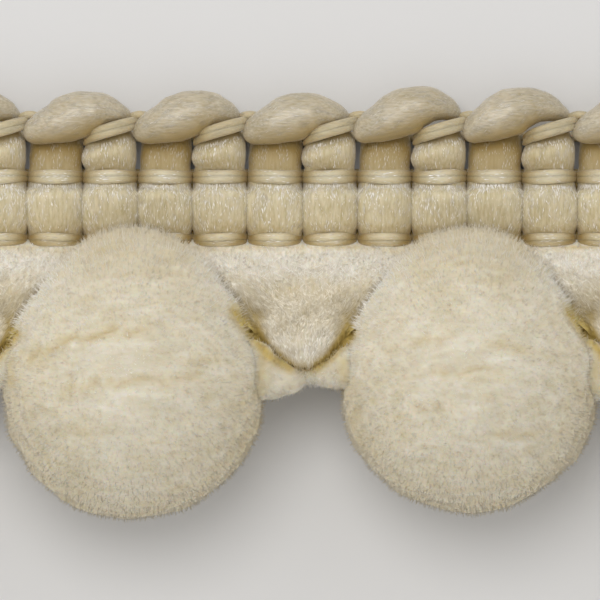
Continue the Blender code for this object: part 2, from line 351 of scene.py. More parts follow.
TUFT_FOLD_END = 3.2
# Painted shade across a tuft's middle.
TUFT_MIDDLE_SHADE = 0.32
TUFT_TONE = 0.42
# Painted light: a tuft's yarn is lighter near the heading, where its top catches the light.
TUFT_TOP_PAINTED_LIGHT = 0.20
TUFT_LIGHT = 0.5
TUFT_FIBRES = 14500
TUFT_FIBRE_LENGTH = (0.4, 1.0)
TUFT_SPIKES = 11000
TUFT_SPIKE_LENGTH = (0.45, 0.80)
SEAM_TRIES = 60000
SEAM_FIBRES = 2300
SEAM_REACH = (-0.25, 0.40)
SEAM_END = 5.6
SEAM_LENGTH = (0.40, 0.75)
TUFT_CREASES = (
    # first along, first drop, last along, last drop, depth
    (-4.90, 3.55, -2.90, 5.40, 0.55),
    (3.10, 1.80, 2.60, 2.80, 0.40),
)
TUFT_CREASE_HALF_WIDTH = 0.28

# The yarn behind a tuft, which shows in the slits beside its tip, coloured with painted brown shade.
DEEP_OUTLINE = (
    # drop, left edge, right edge, face height, thickness
    (2.80, -6.80, 6.60, 6.80, 2.40),
    (4.20, -6.40, 6.20, 8.60, 3.00),
    (6.00, -5.20, 5.20, 9.70, 3.20),
    (8.00, -4.40, 4.30, 9.85, 3.00),
    (9.20, -3.60, 3.60, 9.60, 2.40),
    (9.60, -3.20, 3.20, 9.20, 1.40),
)
DEEP_RINGS = 24
DEEP_SIDES = 40
DEEP_SHADE = 1.0
DEEP_END = 9.5
DEEP_FADE = 0.5

# Hollows round a tuft's tip and beside its tie, measured from the tie: the balls dip in there, and painted brown
# shade fills them.
SLITS = (
    # strength, then along and rise at each bend
    (1.0, ((-4.95, -4.80), (-3.75, -6.50), (-2.55, -8.02), (-0.84, -8.95))),
    (0.6, ((-0.84, -8.95), (0.95, -8.95))),
    (1.0, ((0.95, -8.95), (2.07, -8.25), (3.50, -6.50))),
    (0.4, ((-3.00, -8.60), (-3.10, -10.60))),
    (0.4, ((3.00, -8.40), (3.15, -10.00))),
)
SLIT_HALF_WIDTH = 0.46
SLIT_DEPTH = 0.40
SLIT_LEAST_HEIGHT = 8.0
SLIT_FADE = 1.5
BALL_RECESS_LOW = 7.2

# Ties: two soft lobes and the pinch between them.
TIE_ROUTE = (
    # along, rise, height, half height, half depth
    (-5.40, -9.00, 11.20, 0.80, 0.60),
    (-4.90, -9.05, 11.20, 1.90, 1.40),
    (-4.20, -9.20, 11.00, 2.40, 1.80),
    (-3.40, -9.45, 10.75, 2.25, 1.80),
    (-2.70, -9.66, 10.50, 1.92, 1.70),
    (-1.88, -9.82, 10.30, 1.52, 1.55),
    (-1.06, -9.88, 10.10, 1.16, 1.30),
    (-0.39, -9.76, 9.80, 0.88, 1.00),
    (0.15, -9.62, 9.60, 0.74, 0.80),
    (0.95, -9.56, 9.60, 0.78, 0.85),
    (1.62, -9.56, 9.80, 0.92, 1.00),
    (2.30, -9.46, 10.10, 1.12, 1.25),
    (2.96, -9.28, 10.40, 1.40, 1.45),
    (3.70, -9.05, 10.80, 1.70, 1.60),
    (4.40, -8.95, 11.00, 1.60, 1.30),
    (4.90, -8.90, 11.10, 0.80, 0.60),
)
TIE_RINGS = 56
TIE_SIDES = 28
TIE_FIBRES = 2200
TIE_RECESS = 0.5

# Painted shade in recesses: how far a point lies under the smoothed faces, front and back, sets how much shade is
# painted on it.
MAP_CELL = 0.15
MAP_BLUR = 0.75
MAP_EMPTY_BACK = 6.0
MAP_CEILING = 12.0
RECESS_START = 0.10
RECESS_FULL = 1.50


def unit(vectors):
    return vectors / np.linalg.norm(vectors, axis=-1, keepdims=True)


def smooth_step(share):
    share = np.clip(share, 0.0, 1.0)
    return share * share * (3 - 2 * share)


def eased(places, keys, values):
    """Values read between keys on a smooth curve that is level at each key's peak."""
    keys, values = np.asarray(keys, float), np.asarray(values, float)
    gaps = np.diff(keys)
    slopes = np.diff(values) / gaps
    tangents = np.zeros(len(keys))
    rising = slopes[:-1] * slopes[1:] > 0
    weight = gaps[:-1] + gaps[1:]
    between = 2.0 * slopes[:-1] * slopes[1:] / np.where(rising, slopes[:-1] + slopes[1:], 1.0)
    tangents[1:-1] = np.where(rising, between, 0.0) * weight / weight
    tangents[0], tangents[-1] = slopes[0], slopes[-1]
    places = np.clip(places, keys[0], keys[-1])
    i = np.clip(np.searchsorted(keys, places, side="right") - 1, 0, len(gaps) - 1)
    t = (places - keys[i]) / gaps[i]
    rise = 2 * t**3 - 3 * t**2 + 1
    return (
        rise * values[i]
        + (t**3 - 2 * t**2 + t) * gaps[i] * tangents[i]
        + (1 - rise) * values[i + 1]
        + (t**3 - t**2) * gaps[i] * tangents[i + 1]
    )


def route_through(table, steps):
    """Smooth columns of a table, read at even steps from its first row to its last."""
    rows = np.array(table, float)
    reach = np.concatenate([[0.0], np.cumsum(np.linalg.norm(np.diff(rows[:, :3], axis=0), axis=1))])
    at = np.linspace(0.0, reach[-1], steps)
    return np.stack([eased(at, reach, rows[:, i]) for i in range(rows.shape[1])], axis=1)


def waves(points, size, seed, count=10):
    """Smooth noise from -1 to 1 or so: a sum of sine waves about that size in millimetres."""
    rng = np.random.default_rng(seed)
    ways = unit(rng.normal(size=(count, 3))) * rng.uniform(0.7, 1.6, (count, 1))
    phases = rng.uniform(0, 2 * math.pi, count)
    return np.sin(points @ ways.T * (2 * math.pi / size) + phases).sum(axis=-1) / math.sqrt(count)


def grid_faces(rings, sides):
    """Triangles of a closed tube of rings, with a fan at each end."""
    ring, side = np.meshgrid(np.arange(rings - 1), np.arange(sides), indexing="ij")
    a = ring * sides + side
    b = ring * sides + (side + 1) % sides
    c, d = b + sides, a + sides
    walls = np.concatenate([np.stack([a, b, c], -1).reshape(-1, 3), np.stack([a, c, d], -1).reshape(-1, 3)])
    first, last = rings * sides, rings * sides + 1
    i = np.arange(sides)
    j = (i + 1) % sides
    start = np.stack([j, i, np.full(sides, first)], -1)
    end = np.stack([i, j, np.full(sides, last)], -1)
    end[:, :2] += (rings - 1) * sides
    return np.concatenate([walls, start, end])


def closed_tube(rings):
    """Points and triangles of a tube from an array of rings, closed with a fan at each end."""
    count, sides, _ = rings.shape
    points = np.concatenate([rings.reshape(-1, 3), rings[:1].mean(1), rings[-1:].mean(1)])
    return points, grid_faces(count, sides)


def swept(centres, across, along_normal, sides, across_axis=None):
    """Rings round a route: across in the face's plane, along_normal out of it."""
    forward = unit(np.gradient(centres, axis=0))
    out = np.array([0.0, 0.0, 1.0]) if across_axis is None else np.array(across_axis)
    side = unit(np.cross(forward, out))
    up = np.cross(side, forward)
    turn = 2 * math.pi * np.arange(sides) / sides
    ring = (
        side[:, None] * (np.cos(turn)[None, :] * across[:, None])[..., None]
        + up[:, None] * (np.sin(turn)[None, :] * along_normal[:, None])[..., None]
    )
    return centres[:, None] + ring


def tube_ends_rounded(radii, steps=3):
    """Radii that shrink over the first and last rings, so that a tube ends in a dome."""
    rounded = radii.copy()
    for i in range(steps):
        share = math.sin(math.pi / 2 * (i + 0.4) / steps)
        rounded[i] *= share
        rounded[-1 - i] *= share
    return rounded


def joined(parts):
    """Points, triangles, tones, added painted shade and facings of several parts, as one."""
    points, faces, tones, shade_paints, facings, start = [], [], [], [], [], 0
    for part in parts:
        count = len(part["points"])
        points.append(part["points"])
        faces.append(part["faces"] + start)
        tones.append(np.broadcast_to(np.asarray(part["tone"], float), (count,)))
        shade_paints.append(np.broadcast_to(np.asarray(part.get("warmth", 0.0), float), (count,)))
        facing = part.get("facing")
        facings.append(smooth_facing(part["points"], part["faces"]) if facing is None else facing)
        start += count
    return tuple(map(np.concatenate, (points, faces, tones, shade_paints, facings)))


def smooth_facing(points, faces):
    """The outward direction at each point, smoothed over its triangles."""
    a, b, c = (points[faces[:, i]] for i in range(3))
    across = np.cross(b - a, c - a)
    facing = np.zeros_like(points)
    for i in range(3):
        np.add.at(facing, faces[:, i], across)
    return unit(facing + np.array([0.0, 0.0, 1e-9]))


# warmth is the share of painted shade that a part adds to its recess shade.
def body(shape, tone, warmth=0.0):
    points, faces = shape
    return {"points": points, "faces": faces, "tone": tone, "warmth": warmth}


def ring_about(places, axis, half_width, rng):
    """Three points round each place, square to its axis."""
    side = unit(np.cross(axis, rng.normal(size=axis.shape)))
    up = np.cross(axis, side)
    turn = 2 * math.pi * np.arange(3) / 3
    return places[:, None] + np.reshape(half_width, (-1, 1, 1)) * (
        side[:, None] * np.cos(turn)[None, :, None] + up[:, None] * np.sin(turn)[None, :, None]
    )


def fibre_tones_and_glints(count, rng):
    """Mostly dull fibres, with a few bright ones among them that are painted glints."""
    low, high = FIBRE_TONES_AND_GLINTS
    return low + (high - low) * rng.random(count) ** 2


def fibres(points, pattern, axis_points, out, warmth, rng):
    """A part made of equal small fibres, each facing nearly as the yarn below it."""
    count, size = points.shape[:2]
    faces = np.array(pattern)[None] + size * np.arange(count)[:, None, None]
    own = unit(points - axis_points[:, None] + 1e-9)
    facing = unit(out[:, None] + FIBRE_ROUNDNESS * own)
    return {
        "points": points.reshape(-1, 3),
        "faces": faces.reshape(-1, 3),
        "tone": np.repeat(fibre_tones_and_glints(count, rng), size),
        "warmth": np.repeat(np.broadcast_to(warmth, (count,)), size),
        "facing": facing.reshape(-1, 3),
    }


def spikes(base, tip, out, half_width, rng, warmth=0.0):
    """Fibre ends that stand out: closed three-sided spikes."""
    ring = ring_about(base, unit(tip - base), half_width, rng)
    points = np.concatenate([ring, tip[:, None]], axis=1)
    pattern = [(0, 1, 3), (1, 2, 3), (2, 0, 3), (2, 1, 0)]
    return fibres(points, pattern, base, out, warmth, rng)


def tube_fibres(rings, count, reach, rng, shade_paint_at):
    """Fibres laid along a tube of rings, a number of rings long."""
    reach = rng.uniform(*reach, count)
    at = rng.uniform(2.0, len(rings) - 3.0 - reach, count)
    side = rng.uniform(0.0, rings.shape[1], count)
    drift = rng.normal(0.0, 0.5, count)
    middles = np.broadcast_to(rings.mean(axis=1, keepdims=True), rings.shape)
    places = []
    for share, lift in ((0.0, -0.02), (1.0, -0.02), (0.5, 0.0)):
        place = read_grid(rings, at + reach * share, side + drift * share)
        out = unit(place - read_grid(middles, at + reach * share, side))
        places.append(place + lift * out)
    start, end, middle = places
    width = FIBRE_HALF_WIDTH * rng.uniform(0.7, 1.3, count)
    return laid_fibres(start, middle, end, out, width, rng, shade_paint_at(middle))


def laid_fibres(start, middle, end, out, half_width, rng, warmth=0.0):
    """Fibres that lie on a surface: closed low ridges, pointed at both ends."""
    half_width = half_width[:, None]
    side = unit(np.cross(end - start, out)) * half_width
    crest = middle + out * half_width * FIBRE_HEIGHT
    foot = out * half_width * 0.3
    points = np.stack([middle - side - foot, crest, middle + side - foot, start, end], axis=1)
    pattern = [(0, 1, 4), (1, 2, 4), (2, 0, 4), (1, 0, 3), (2, 1, 3), (0, 2, 3)]
    return fibres(points, pattern, middle - foot, out, warmth, rng)


PIECES = []


def add_piece(name, parts, material, slot, replaced=()):
    PIECES.append((name, joined(parts), material, slot, replaced))


def blurred(grid):
    reach = int(3 * MAP_BLUR / MAP_CELL)
    weights = np.exp(-0.5 * (np.arange(-reach, reach + 1) * MAP_CELL / MAP_BLUR) ** 2)
    weights /= weights.sum()
    for axis in (0, 1):
        spread = [(reach, reach) if i == axis else (0, 0) for i in (0, 1)]
        padded = np.pad(grid, spread, mode="edge")
        count = grid.shape[axis]
        grid = sum(w * np.take(padded, np.arange(i, i + count), axis) for i, w in enumerate(weights))
    return grid


def face_map(cells, heights, shape, empty):
    """The greatest height in each cell, with small gaps closed, smoothed."""
    grid = np.full(shape, -np.inf)
    np.maximum.at(grid, cells, heights)
    for _ in range(2):
        padded = np.pad(grid, 1, constant_values=-np.inf)
        sides = [padded[1 + i : shape[0] + 1 + i, 1 + j : shape[1] + 1 + j] for i in (-1, 0, 1) for j in (-1, 0, 1)]
        grid = np.where(np.isinf(grid), np.max(sides, axis=0), grid)
    return blurred(np.where(np.isinf(grid), empty, grid))


def slit_nearness(places):
    """How near places are to the hollows round the nearest tuft's tip, from 0 to 1."""
    along = places[:, 0] - np.round(places[:, 0] / POMPOM_PITCH) * POMPOM_PITCH
    flat = np.stack([along, places[:, 1] - FOOT_Y], 1)
    most = np.zeros(len(flat))
    for strength, bends in SLITS:
        for start, end in zip(np.array(bends[:-1]), np.array(bends[1:])):
            way = end - start
            share = np.clip((flat - start) @ way / (way @ way), 0, 1)
            off = np.linalg.norm(flat - start - share[:, None] * way, axis=1)
            most = np.maximum(most, strength * np.exp(-((off / SLIT_HALF_WIDTH) ** 2)))
    return most * smooth_step((places[:, 2] - SLIT_LEAST_HEIGHT) / SLIT_FADE)


def painted_shade_shares():
    """For every piece, the share of painted shade at each point, from 0 to 1: deeper points, the hollows by the
    tufts' tips and each part's own painted shade get more.
    """
    everything = np.concatenate([data[0] for _, data, *_ in PIECES])
    is_ball = np.concatenate([np.full(len(data[0]), "pompom" in name) for name, data, *_ in PIECES])
    counted = ~(is_ball & (everything[:, 1] > FOOT_Y - 1.5))
    low = everything.min(0) - 1.0
    shape = tuple(np.ceil((everything.max(0) + 1.0 - low)[:2] / MAP_CELL).astype(int))
    cells = tuple(((everything - low)[:, :2] / MAP_CELL).astype(int).T)
    some = tuple(axis[counted] for axis in cells)
    heights = np.minimum(everything[:, 2], MAP_CEILING)
    front = face_map(some, heights[counted], shape, 0.0)
    back = -face_map(some, -heights[counted], shape, -MAP_EMPTY_BACK)
    depth = np.minimum(front[cells] - everything[:, 2], everything[:, 2] - back[cells])
    share = smooth_step((depth - RECESS_START) / (RECESS_FULL - RECESS_START))
    from_tie = np.abs(everything[:, 0] - np.round(everything[:, 0] / POMPOM_PITCH) * POMPOM_PITCH)
    share *= np.where(is_ball, smooth_step((5.5 - from_tie) / 2.5), 1.0)
    share *= np.where(is_ball, smooth_step((everything[:, 2] - BALL_RECESS_LOW) / SLIT_FADE), 1.0)
    is_tie = np.concatenate([np.full(len(data[0]), "tie" in name) for name, data, *_ in PIECES])
    share *= np.where(is_tie, TIE_RECESS, 1.0)
    # Painted shade in the hollows round the tufts' tips, then the painted shade that each part adds.
    share += slit_nearness(everything)
    share += np.concatenate([data[3] for _, data, *_ in PIECES])
    share = np.clip(share, 0.0, 1.0)
    counts = np.cumsum([len(data[0]) for _, data, *_ in PIECES])
    return np.split(share, counts[:-1])


def build_pieces():
    """Makes the mesh of each piece, and fixes it to the body of the trim."""
    for (name, data, material, slot, replaced), deep in zip(PIECES, painted_shade_shares()):
        points, faces, tones, _, facing = data
        mesh = bpy.data.meshes.new(name)
        mesh.vertices.add(len(points))
        mesh.vertices.foreach_set("co", (points * MM).astype(np.float32).ravel())
        mesh.loops.add(faces.size)
        mesh.loops.foreach_set("vertex_index", faces.astype(np.int32).ravel())
        mesh.polygons.add(len(faces))
        mesh.polygons.foreach_set("loop_start", np.arange(0, faces.size, 3, dtype=np.int32))
        mesh.update(calc_edges=True)
        mesh.validate()
        # deep, each point's share of painted shade, goes on as an attribute that the yarn materials mix in.
        for label, values in (("tone", tones), ("painted_shade", deep)):
            layer = mesh.attributes.new(label, "FLOAT", "POINT")
            layer.data.foreach_set("value", values.astype(np.float32))
        mesh.shade_smooth()
        mesh.normals_split_custom_set_from_vertices(facing)
        mesh.materials.append(material)
        piece = bpy.data.objects.new(name, mesh)
        bpy.context.scene.collection.objects.link(piece)
        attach(piece, "root")
        if replaced:
            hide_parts(*replaced)


def yarn_material(
    name,
    dark,
    light,
    shade_colour,
    stretch,
    grain,
    bump,
    roughness,
    sheen,
    soft=0.0,
    reach=0.7,
    gloss=0.3,
    turn=0.0,
    contrast=1.0,
):
    """Yarn: fibres as fine as the grain, drawn out along one axis, and mixed towards a painted shade colour in its
    recesses.
    """
    material = bpy.data.materials.new(name)
    material.use_nodes = True
    nodes, links = material.node_tree.nodes, material.node_tree.links
    shader = nodes["Principled BSDF"]
    shader.inputs["Roughness"].default_value = roughness
    shader.inputs["Sheen Weight"].default_value = sheen
    shader.inputs["Sheen Roughness"].default_value = 0.45
    shader.inputs["Sheen Tint"].default_value = (1.0, 0.95, 0.85, 1.0)
    shader.inputs["Specular IOR Level"].default_value = gloss
    shader.inputs["Subsurface Weight"].default_value = soft
    shader.inputs["Subsurface Radius"].default_value = (1.0, 0.7, 0.4)
    shader.inputs["Subsurface Scale"].default_value = reach * MM
    places = nodes.new("ShaderNodeTexCoord")
    mapping = nodes.new("ShaderNodeMapping")
    mapping.inputs["Scale"].default_value = stretch
    mapping.inputs["Rotation"].default_value = (0.0, 0.0, turn)
    links.new(places.outputs["Object"], mapping.inputs["Vector"])
    fine = nodes.new("ShaderNodeTexNoise")
    fine.inputs["Scale"].default_value = 1.0 / (grain * MM)
    fine.inputs["Detail"].default_value = 3.0
    fine.inputs["Roughness"].default_value = 0.6
    links.new(mapping.outputs["Vector"], fine.inputs["Vector"])
    patches = nodes.new("ShaderNodeTexNoise")
    patches.inputs["Scale"].default_value = 1.0 / (3.0 * MM)
    patches.inputs["Detail"].default_value = 2.0
    links.new(places.outputs["Object"], patches.inputs["Vector"])
    tone = nodes.new("ShaderNodeAttribute")
    tone.attribute_name = "tone"
    blend = nodes.new("ShaderNodeMath")
    blend.operation = "MULTIPLY_ADD"
    links.new(fine.outputs["Fac"], blend.inputs[0])
    blend.inputs[1].default_value = contrast
    links.new(tone.outputs["Fac"], blend.inputs[2])
    shade = nodes.new("ShaderNodeMath")
    shade.operation = "MULTIPLY_ADD"
    links.new(patches.outputs["Fac"], shade.inputs[0])
    shade.inputs[1].default_value = 0.5
    links.new(blend.outputs["Value"], shade.inputs[2])
    ramp = nodes.new("ShaderNodeMapRange")
    ramp.inputs["From Min"].default_value = 0.5 * contrast + 0.2
    ramp.inputs["From Max"].default_value = 0.5 * contrast + 1.3
    links.new(shade.outputs["Value"], ramp.inputs["Value"])
    colour = nodes.new("ShaderNodeMix")
    colour.data_type = "RGBA"
    colour.inputs["A"].default_value = (*dark, 1.0)
    colour.inputs["B"].default_value = (*light, 1.0)
    links.new(ramp.outputs["Result"], colour.inputs["Factor"])
    # Painted shade: the yarn's colour is mixed towards the shade colour as far as the painted_shade attribute says.
    painted_shade = nodes.new("ShaderNodeAttribute")
    painted_shade.attribute_name = "painted_shade"
    shaded = nodes.new("ShaderNodeMix")
    shaded.data_type = "RGBA"
    shaded.inputs["B"].default_value = (*shade_colour, 1.0)
    links.new(painted_shade.outputs["Fac"], shaded.inputs["Factor"])
    links.new(colour.outputs["Result"], shaded.inputs["A"])
    links.new(shaded.outputs["Result"], shader.inputs["Base Color"])
    relief = nodes.new("ShaderNodeBump")
    relief.inputs["Strength"].default_value = bump
    relief.inputs["Distance"].default_value = 0.1 * MM
    links.new(fine.outputs["Fac"], relief.inputs["Height"])
    links.new(relief.outputs["Normal"], shader.inputs["Normal"])
    return material


def column_surface(column, angle, rise):
    """Points of one column's surface at angles round it and rises up it."""
    table = RIGHT_COLUMN if column % COLUMNS_PER_LOOP else LEFT_COLUMN
    keys, widths, heights = np.array(table).T
    width = eased(rise, keys, widths) * (1 + COLUMN_VARIETY * (1 + math.sin(1.7 * column)))
    rise = rise + COLUMN_VARIETY * 2 * math.sin(2.4 * column + 1)
    height = eased(rise, keys, heights)
    middle = (height + COLUMN_BACK) / 2
    cosine, sine = np.cos(angle), np.sin(angle)
    power = 2 / COLUMN_ROUNDNESS
    x = width * np.sign(cosine) * np.abs(cosine) ** power
    deep = np.where(sine > 0, height - middle, middle - COLUMN_BACK)
    z = middle + deep * np.sign(sine) * np.abs(sine) ** np.where(sine > 0, power, 0.45)
    upper = np.clip((rise - UPPER_FOOT) / 1.2, 0.0, 1.0)
    if column % COLUMNS_PER_LOOP:
        rise = rise + SLANT * x * upper
    lean = PAIR_LEAN * (-1 if column % COLUMNS_PER_LOOP else 1) * upper
    x = x + lean + LEFT_END + (column + 0.5) * COLUMN_PITCH
    points = np.stack(np.broadcast_arrays(x, FOOT_Y + rise, z), axis=-1)
    lumps = waves(points, 1.9, 11) * 0.05
    points[..., 2] += np.where(sine > 0, lumps, 0.0)
    points[..., 1] += waves(points, 4.3, 12) * 0.04
    return points


def column_strands(points, column):
    """Fine vertical ridges pressed into a column's face."""
    phase = points[..., 0] + 0.05 * np.sin(points[..., 1] * 2.1 + column)
    ridges = np.sin(phase * 2 * math.pi / 0.36) + 0.6 * np.sin(phase * 2 * math.pi / 0.23 + column)
    return ridges * 0.022


def column_painted_shade(column, rise):
    keys, values = zip(*(RIGHT_PAINTED_SHADE if column % COLUMNS_PER_LOOP else LEFT_PAINTED_SHADE))
    return np.interp(rise, keys, values)


def make_columns(material):
    parts = []
    angle = 2 * math.pi * np.arange(COLUMN_SIDES) / COLUMN_SIDES
    for column in range(COLUMN_COUNT):
        table = RIGHT_COLUMN if column % COLUMNS_PER_LOOP else LEFT_COLUMN
        rises = np.linspace(table[0][0], table[-1][0], COLUMN_RINGS)
        rings = column_surface(column, angle[None, :], rises[:, None])
        rings[..., 2] += np.where(np.sin(angle) > 0.2, column_strands(rings, column), 0.0)
        points, faces = closed_tube(rings[:, ::-1])
        # Painted shade on the columns' fronts, read from the tables up them.
        warmth = column_painted_shade(column, (points[:, 1] - FOOT_Y)) * np.clip(points[:, 2] - 1.0, 0, 1)
        parts.append(body((points, faces), 0.5, warmth))
    add_piece("heading_columns", parts, material, "heading_yarn", ["heading"])


def make_column_fibres(material):
    rng = np.random.default_rng(31)
    parts = []
    for column in range(COLUMN_COUNT):
        for first, last, count in BLOCKS:
            angle = rng.uniform(0.12, math.pi - 0.12, count)
            length = rng.uniform(*COLUMN_FIBRE_LENGTH, count)
            low = last - 0.3 - (last - first - 0.1) * rng.random(count) ** COLUMN_FIBRE_CROWD
            high = np.minimum(low + length, last + 0.1)
            turn = rng.normal(0.0, COLUMN_FIBRE_TURN, count)
            places = [
                column_surface(column, angle + turn * share, low + (high - low) * share)
                for share in (0.0, 0.5, 1.0)
            ]
            places[0][:, 2] -= 0.02
            out = np.stack([np.cos(angle), np.zeros(count), np.sin(angle)], axis=1)
            places[2] += out * rng.uniform(-0.03, 0.06, (count, 1))
            width = FIBRE_HALF_WIDTH * rng.uniform(0.7, 1.3, count)
            # The fibres take three quarters of their column's painted shade.
            parts.append(laid_fibres(*places, out, width, rng, column_painted_shade(column, low) * 0.75))
    parts += [make_thread_fibres(*row, rng) for row in FRONT_THREADS]
    add_piece("heading_fibres", parts, material, "heading_yarn")


def thread_line(share, rise, crest, groove):
    """Centres and radii of a front thread at places counted in columns."""
    across = np.mod(share, 1.0)
    over = 1.0 - np.abs(2.0 * across - 1.0) ** THREAD_SQUARENESS
    is_right = np.mod(np.floor(share), COLUMNS_PER_LOOP) > 0
    slant = np.where(is_right, THREAD_SLANT * (2 * across - 1), -THREAD_SLANT * 0.3 * (2 * across - 1))
    x = LEFT_END + share * COLUMN_PITCH
    wander = 0.03 * np.sin(x * 1.7 + rise * 5)
    centres = np.stack([x, FOOT_Y + rise + slant * over + wander, groove + (crest - groove) * over], 1)
    return centres, THREAD_RADIUS * (1 - THREAD_PINCH * (1 - over))


def make_front_thread(rise, crest, groove):
    share = np.linspace(0.0, COLUMN_COUNT, COLUMN_COUNT * THREAD_STEPS_PER_COLUMN + 1)
    centres, radii = thread_line(share, rise, crest, groove)
    points, faces = closed_tube(swept(centres, radii, radii * THREAD_FLATNESS, THREAD_SIDES))
    # Painted highlight over each column's middle and painted shade towards the grooves between columns.
    middle = np.abs(2.0 * np.mod((points[:, 0] - LEFT_END) / COLUMN_PITCH, 1.0) - 1.0)
    low, high = THREAD_PAINTED_TONES
    return body((points, faces), high - (high - low) * middle, THREAD_GROOVE_SHADE * middle**3)


def make_thread_fibres(rise, crest, groove, rng):
    share = rng.integers(0, COLUMN_COUNT, THREAD_FIBRES) + rng.uniform(0.1, 0.8, THREAD_FIBRES)
    reach = rng.uniform(*THREAD_FIBRE_REACH, THREAD_FIBRES)
    angle = rng.uniform(0.3, math.pi - 0.3, THREAD_FIBRES)
    out = np.stack([np.zeros(THREAD_FIBRES), np.cos(angle), np.sin(angle)], axis=1)
    places = []
    for part, lift in ((0.0, -0.02), (0.5, 0.01), (1.0, 0.04)):
        centres, radii = thread_line(share + reach * part, rise, crest, groove)
        places.append(centres + out * (radii[:, None] * np.array([1.0, 1.0, THREAD_FLATNESS]) + lift))
    width = FIBRE_HALF_WIDTH * rng.uniform(0.7, 1.2, THREAD_FIBRES)
    return laid_fibres(*places, out, width, rng)


def binding_painted_shade(places):
    # Painted shade on a binding: a little all along, and more at its left end, where it comes out from under the
    # loop.
    along = np.mod(places[:, 0] - LEFT_END, LOOP_PITCH)
    return 0.12 + 0.7 * np.clip((BINDING_SHADE_END - along) / 1.4, 0, 1) * (along > 3.0)


def make_threads(material):
    rng = np.random.default_rng(41)
    parts = [make_front_thread(*row) for row in FRONT_THREADS]
    for rise, height in BACK_THREADS:
        x = np.linspace(LEFT_END + BACK_INSET, LEFT_END + TRIM_LENGTH - BACK_INSET, COLUMN_COUNT * 4)
        centres = np.stack([x, np.full_like(x, FOOT_Y + rise), np.full_like(x, height)], 1)
        radii = np.full(len(x), THREAD_RADIUS)
        parts.append(body(closed_tube(swept(centres, radii, radii, THREAD_SIDES)), 0.5))
    # Dark shade bands hidden between the columns: tone 0 and full painted shade.
    for rise, height, tall, deep in SHADE_BANDS:
        x = np.linspace(LEFT_END + SHADE_BAND_INSET, LEFT_END + TRIM_LENGTH - SHADE_BAND_INSET, COLUMN_COUNT)
        centres = np.stack([x, np.full_like(x, FOOT_Y + rise), np.full_like(x, height)], 1)
        rings = swept(centres, np.full(len(x), tall), np.full(len(x), deep), THREAD_SIDES)
        parts.append(body(closed_tube(rings), 0.0, 1.0))
    for pair in range(LOOP_COUNT):
        for table in BINDINGS:
            route = route_through(table, BINDING_RINGS)
            route[:, 0] += LEFT_END + pair * LOOP_PITCH
            route[:, 1] += FOOT_Y
            route = route[route[:, 0] < LEFT_END + TRIM_LENGTH]
            radii = tube_ends_rounded(route[:, 3])
            rings = swept(route[:, :3], radii, radii * THREAD_FLATNESS, THREAD_SIDES)
            points, faces = closed_tube(rings)
            parts.append(body((points, faces), 0.35, binding_painted_shade(points)))
            if len(rings) > 2 * BINDING_FIBRE_REACH[1]:
                parts.append(tube_fibres(rings, BINDING_FIBRES, BINDING_FIBRE_REACH, rng, binding_painted_shade))
    add_piece("heading_threads", parts, material, "heading_yarn")


def loop_route(index):
    """Centres and radii of one loop's cord."""
    shift, lift = LOOP_REPEAT[(index - FIRST_OF_REPEAT) % len(LOOP_REPEAT)]
    route = route_through(LOOP_ROUTE, LOOP_RINGS)
    low, high = route[:, 1].min(), route[:, 1].max()
    share = (route[:, 1] - low) / (high - low)
    route[:, 0] += shift * np.sin(math.pi * np.clip(route[:, 0] / LOOP_PITCH, 0, 1))
    route[:, 0] += LEFT_END + index * LOOP_PITCH
    route[:, 1] += FOOT_Y + lift * share
    return route


def make_loop(index, material):
    rng = np.random.default_rng(60 + index)
    route = loop_route(index)
    across = tube_ends_rounded(route[:, 3])
    deep = np.minimum(across, LOOP_MOST_DEPTH)
    rings = swept(route[:, :3], across, deep, LOOP_SIDES)
    rings += unit(rings - route[:, None, :3]) * (waves(rings, 1.6, 70 + index) * 0.035)[..., None]
    points, faces = closed_tube(rings)
    laid = tube_fibres(rings, LOOP_FIBRES, LOOP_FIBRE_REACH, rng, lambda places: loop_painted_shade(places, route))
    name = f"{index + 1:02d}"
    parts = [body((points, faces), LOOP_TONE, loop_painted_shade(points, route)), laid]
    add_piece(f"loop_cord_{name}", parts, material, "loop_cord", [f"loop_{name}"])


def loop_painted_shade(points, route):
    """Painted shade on the underside of a cord, the side that faces the heading."""
    nearest = np.argmin(np.abs(points[:, None, 0] - route[None, :, 0]), axis=1)
    down = (route[nearest, 1] - points[:, 1]) / route[nearest, 3]
    return LOOP_UNDER_SHADE * np.clip(down + 0.05, 0, 1) ** 1.4


def pompom_centre(index):
    along, up, radius = POMPOMS[index]
    x = (index - (POMPOM_COUNT - 1) / 2) * POMPOM_PITCH + along
    return np.array([x, FOOT_Y - POMPOM_DROP + up, radius + BALL_LIFT])


def crease_depth(index, local):
    """How far the ball's creases press in at places given from its middle."""
    pattern = index if index in (1, 2) else 3 - index % 2 - 1
    mirrored = 1.0 if index in (1, 2) else -1.0
    depth = np.zeros(len(local))
    for ball, first, last, up, slope, curve, deep in CREASES:
        if ball != pattern:
            continue
        for face, reach in ((1.0, 1.0), (-1.0, -1.0)):
            along = local[:, 0] * mirrored * reach
            line = up + slope * along + curve * along**2 + 0.12 * np.sin(along * 1.9 + up)
            near = np.exp(-(((local[:, 1] - line) / CREASE_HALF_WIDTH) ** 2))
            ends = np.clip((along - first) / 1.5, 0, 1) * np.clip((last - along) / 1.5, 0, 1)
            depth += deep * near * ends * (local[:, 2] * face > 0)
    return depth


